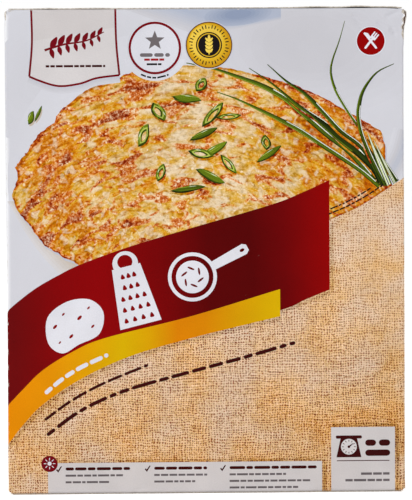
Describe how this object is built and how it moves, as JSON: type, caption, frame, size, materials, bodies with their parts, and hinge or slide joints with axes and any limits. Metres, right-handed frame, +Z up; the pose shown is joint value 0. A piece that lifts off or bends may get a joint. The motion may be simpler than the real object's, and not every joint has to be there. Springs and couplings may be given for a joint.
{
  "type": "food carton",
  "caption": "Shut folding carton for chilled potato food: a flat printed box with folded edges, glued end flaps and a lifted top flap edge.",
  "frame": {"origin": "centre of the bounding box, at the bottom face", "axes": "+X across the front to the right, +Y from the printed front to the back, +Z up"},
  "size_m": [0.1664, 0.0326, 0.202],
  "materials": {
    "printed_board": "coated board, printed on its outside and sealed with a satin varnish"
  },
  "bodies": {
    "root": {"carton": "printed_board"}
  },
  "joints": []
}
